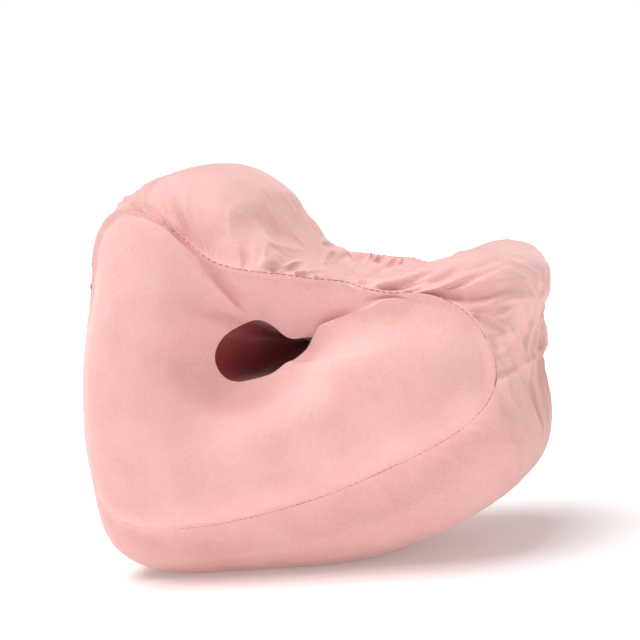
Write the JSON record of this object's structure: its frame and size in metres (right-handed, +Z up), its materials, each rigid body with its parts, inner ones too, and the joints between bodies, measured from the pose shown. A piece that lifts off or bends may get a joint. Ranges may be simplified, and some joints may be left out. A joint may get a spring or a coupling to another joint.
{
  "type": "leg pillow",
  "caption": "Contoured foam leg pillow in a zipped plush cover, with a leg channel between a tall and a low hump and a hole through its middle.",
  "frame": {"origin": "middle of the flat resting patch under the base", "axes": "+X runs from the tall hump to the low hump, -Y is the front face with the drop-shaped hole, +Z is up"},
  "size_m": [0.2534, 0.156, 0.217],
  "materials": {
    "plush": "matte",
    "foam": "matte",
    "thread": "matte",
    "zip_tape": "matte",
    "zip_teeth": "satin",
    "zip_metal": "satin"
  },
  "bodies": {
    "pillow": {"foam_core": "foam", "front_panel": "plush", "back_panel": "plush", "saddle_band": "plush", "base_band": "plush", "tunnel_sleeve": "plush", "seam_thread_front": "thread", "seam_thread_back": "thread", "zip_tape_front": "zip_tape", "zip_tape_back": "zip_tape", "zip_teeth_front": "zip_teeth", "zip_teeth_back": "zip_teeth", "zip_top_stops": "zip_metal", "zip_bottom_stop": "zip_metal"},
    "slider": {"zip_slider": "zip_metal", "zip_pull_pin": "zip_metal"},
    "pull": {"zip_pull": "zip_metal"}
  },
  "joints": [
    {"name": "zip_slide", "type": "slide", "parent": "pillow", "child": "slider", "axis": [0.1634, 0, 0.9866], "range_m": [-0.092, 0]},
    {"name": "pull_hinge", "type": "hinge", "parent": "slider", "child": "pull", "pos_m": [-0.07523, 0, 0.14142], "axis": [0, 1, 0], "range_deg": [0, 170]}
  ]
}
